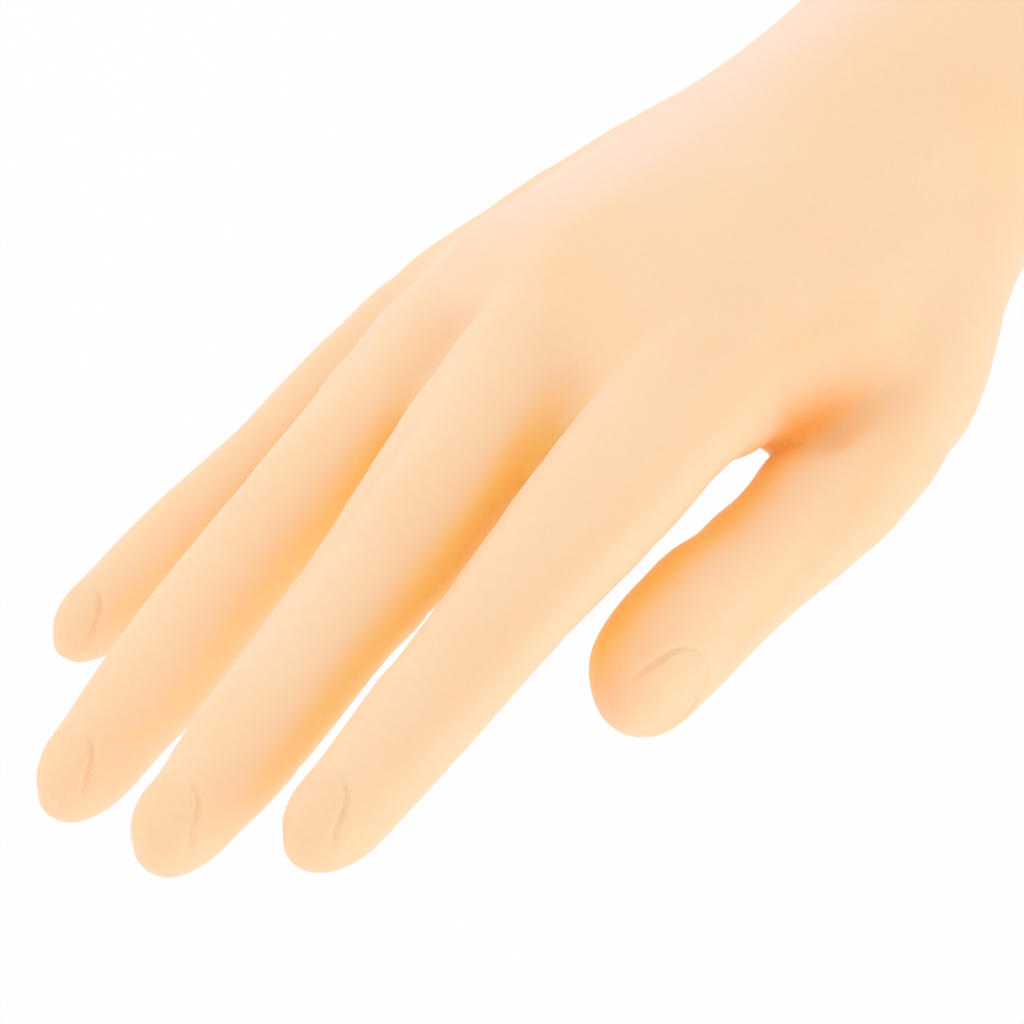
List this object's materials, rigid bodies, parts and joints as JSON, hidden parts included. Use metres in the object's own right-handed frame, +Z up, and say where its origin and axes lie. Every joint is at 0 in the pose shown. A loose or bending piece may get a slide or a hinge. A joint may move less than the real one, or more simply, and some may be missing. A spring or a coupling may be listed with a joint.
{
  "type": "hand jewelry stand",
  "caption": "Life-size hollow hand on a short forearm, standing upright with slightly spread fingers, for showing rings, bracelets and chains.",
  "frame": {"origin": "centre of the pad's underside, on the surface that the stand rests on", "axes": "+Z up along the forearm, the thumb towards -X, the palm towards +Y"},
  "size_m": [0.0874, 0.0688, 0.2907],
  "materials": {
    "skin": "soft satin skin",
    "cap": "satin",
    "iron": "rough cast",
    "screw_steel": "zinc plated",
    "pad": "matte foam"
  },
  "bodies": {
    "root": {"hand_shell": "skin", "base_cap": "cap", "weight": "iron", "weight_screws": "screw_steel", "base_pad": "pad"}
  },
  "joints": []
}
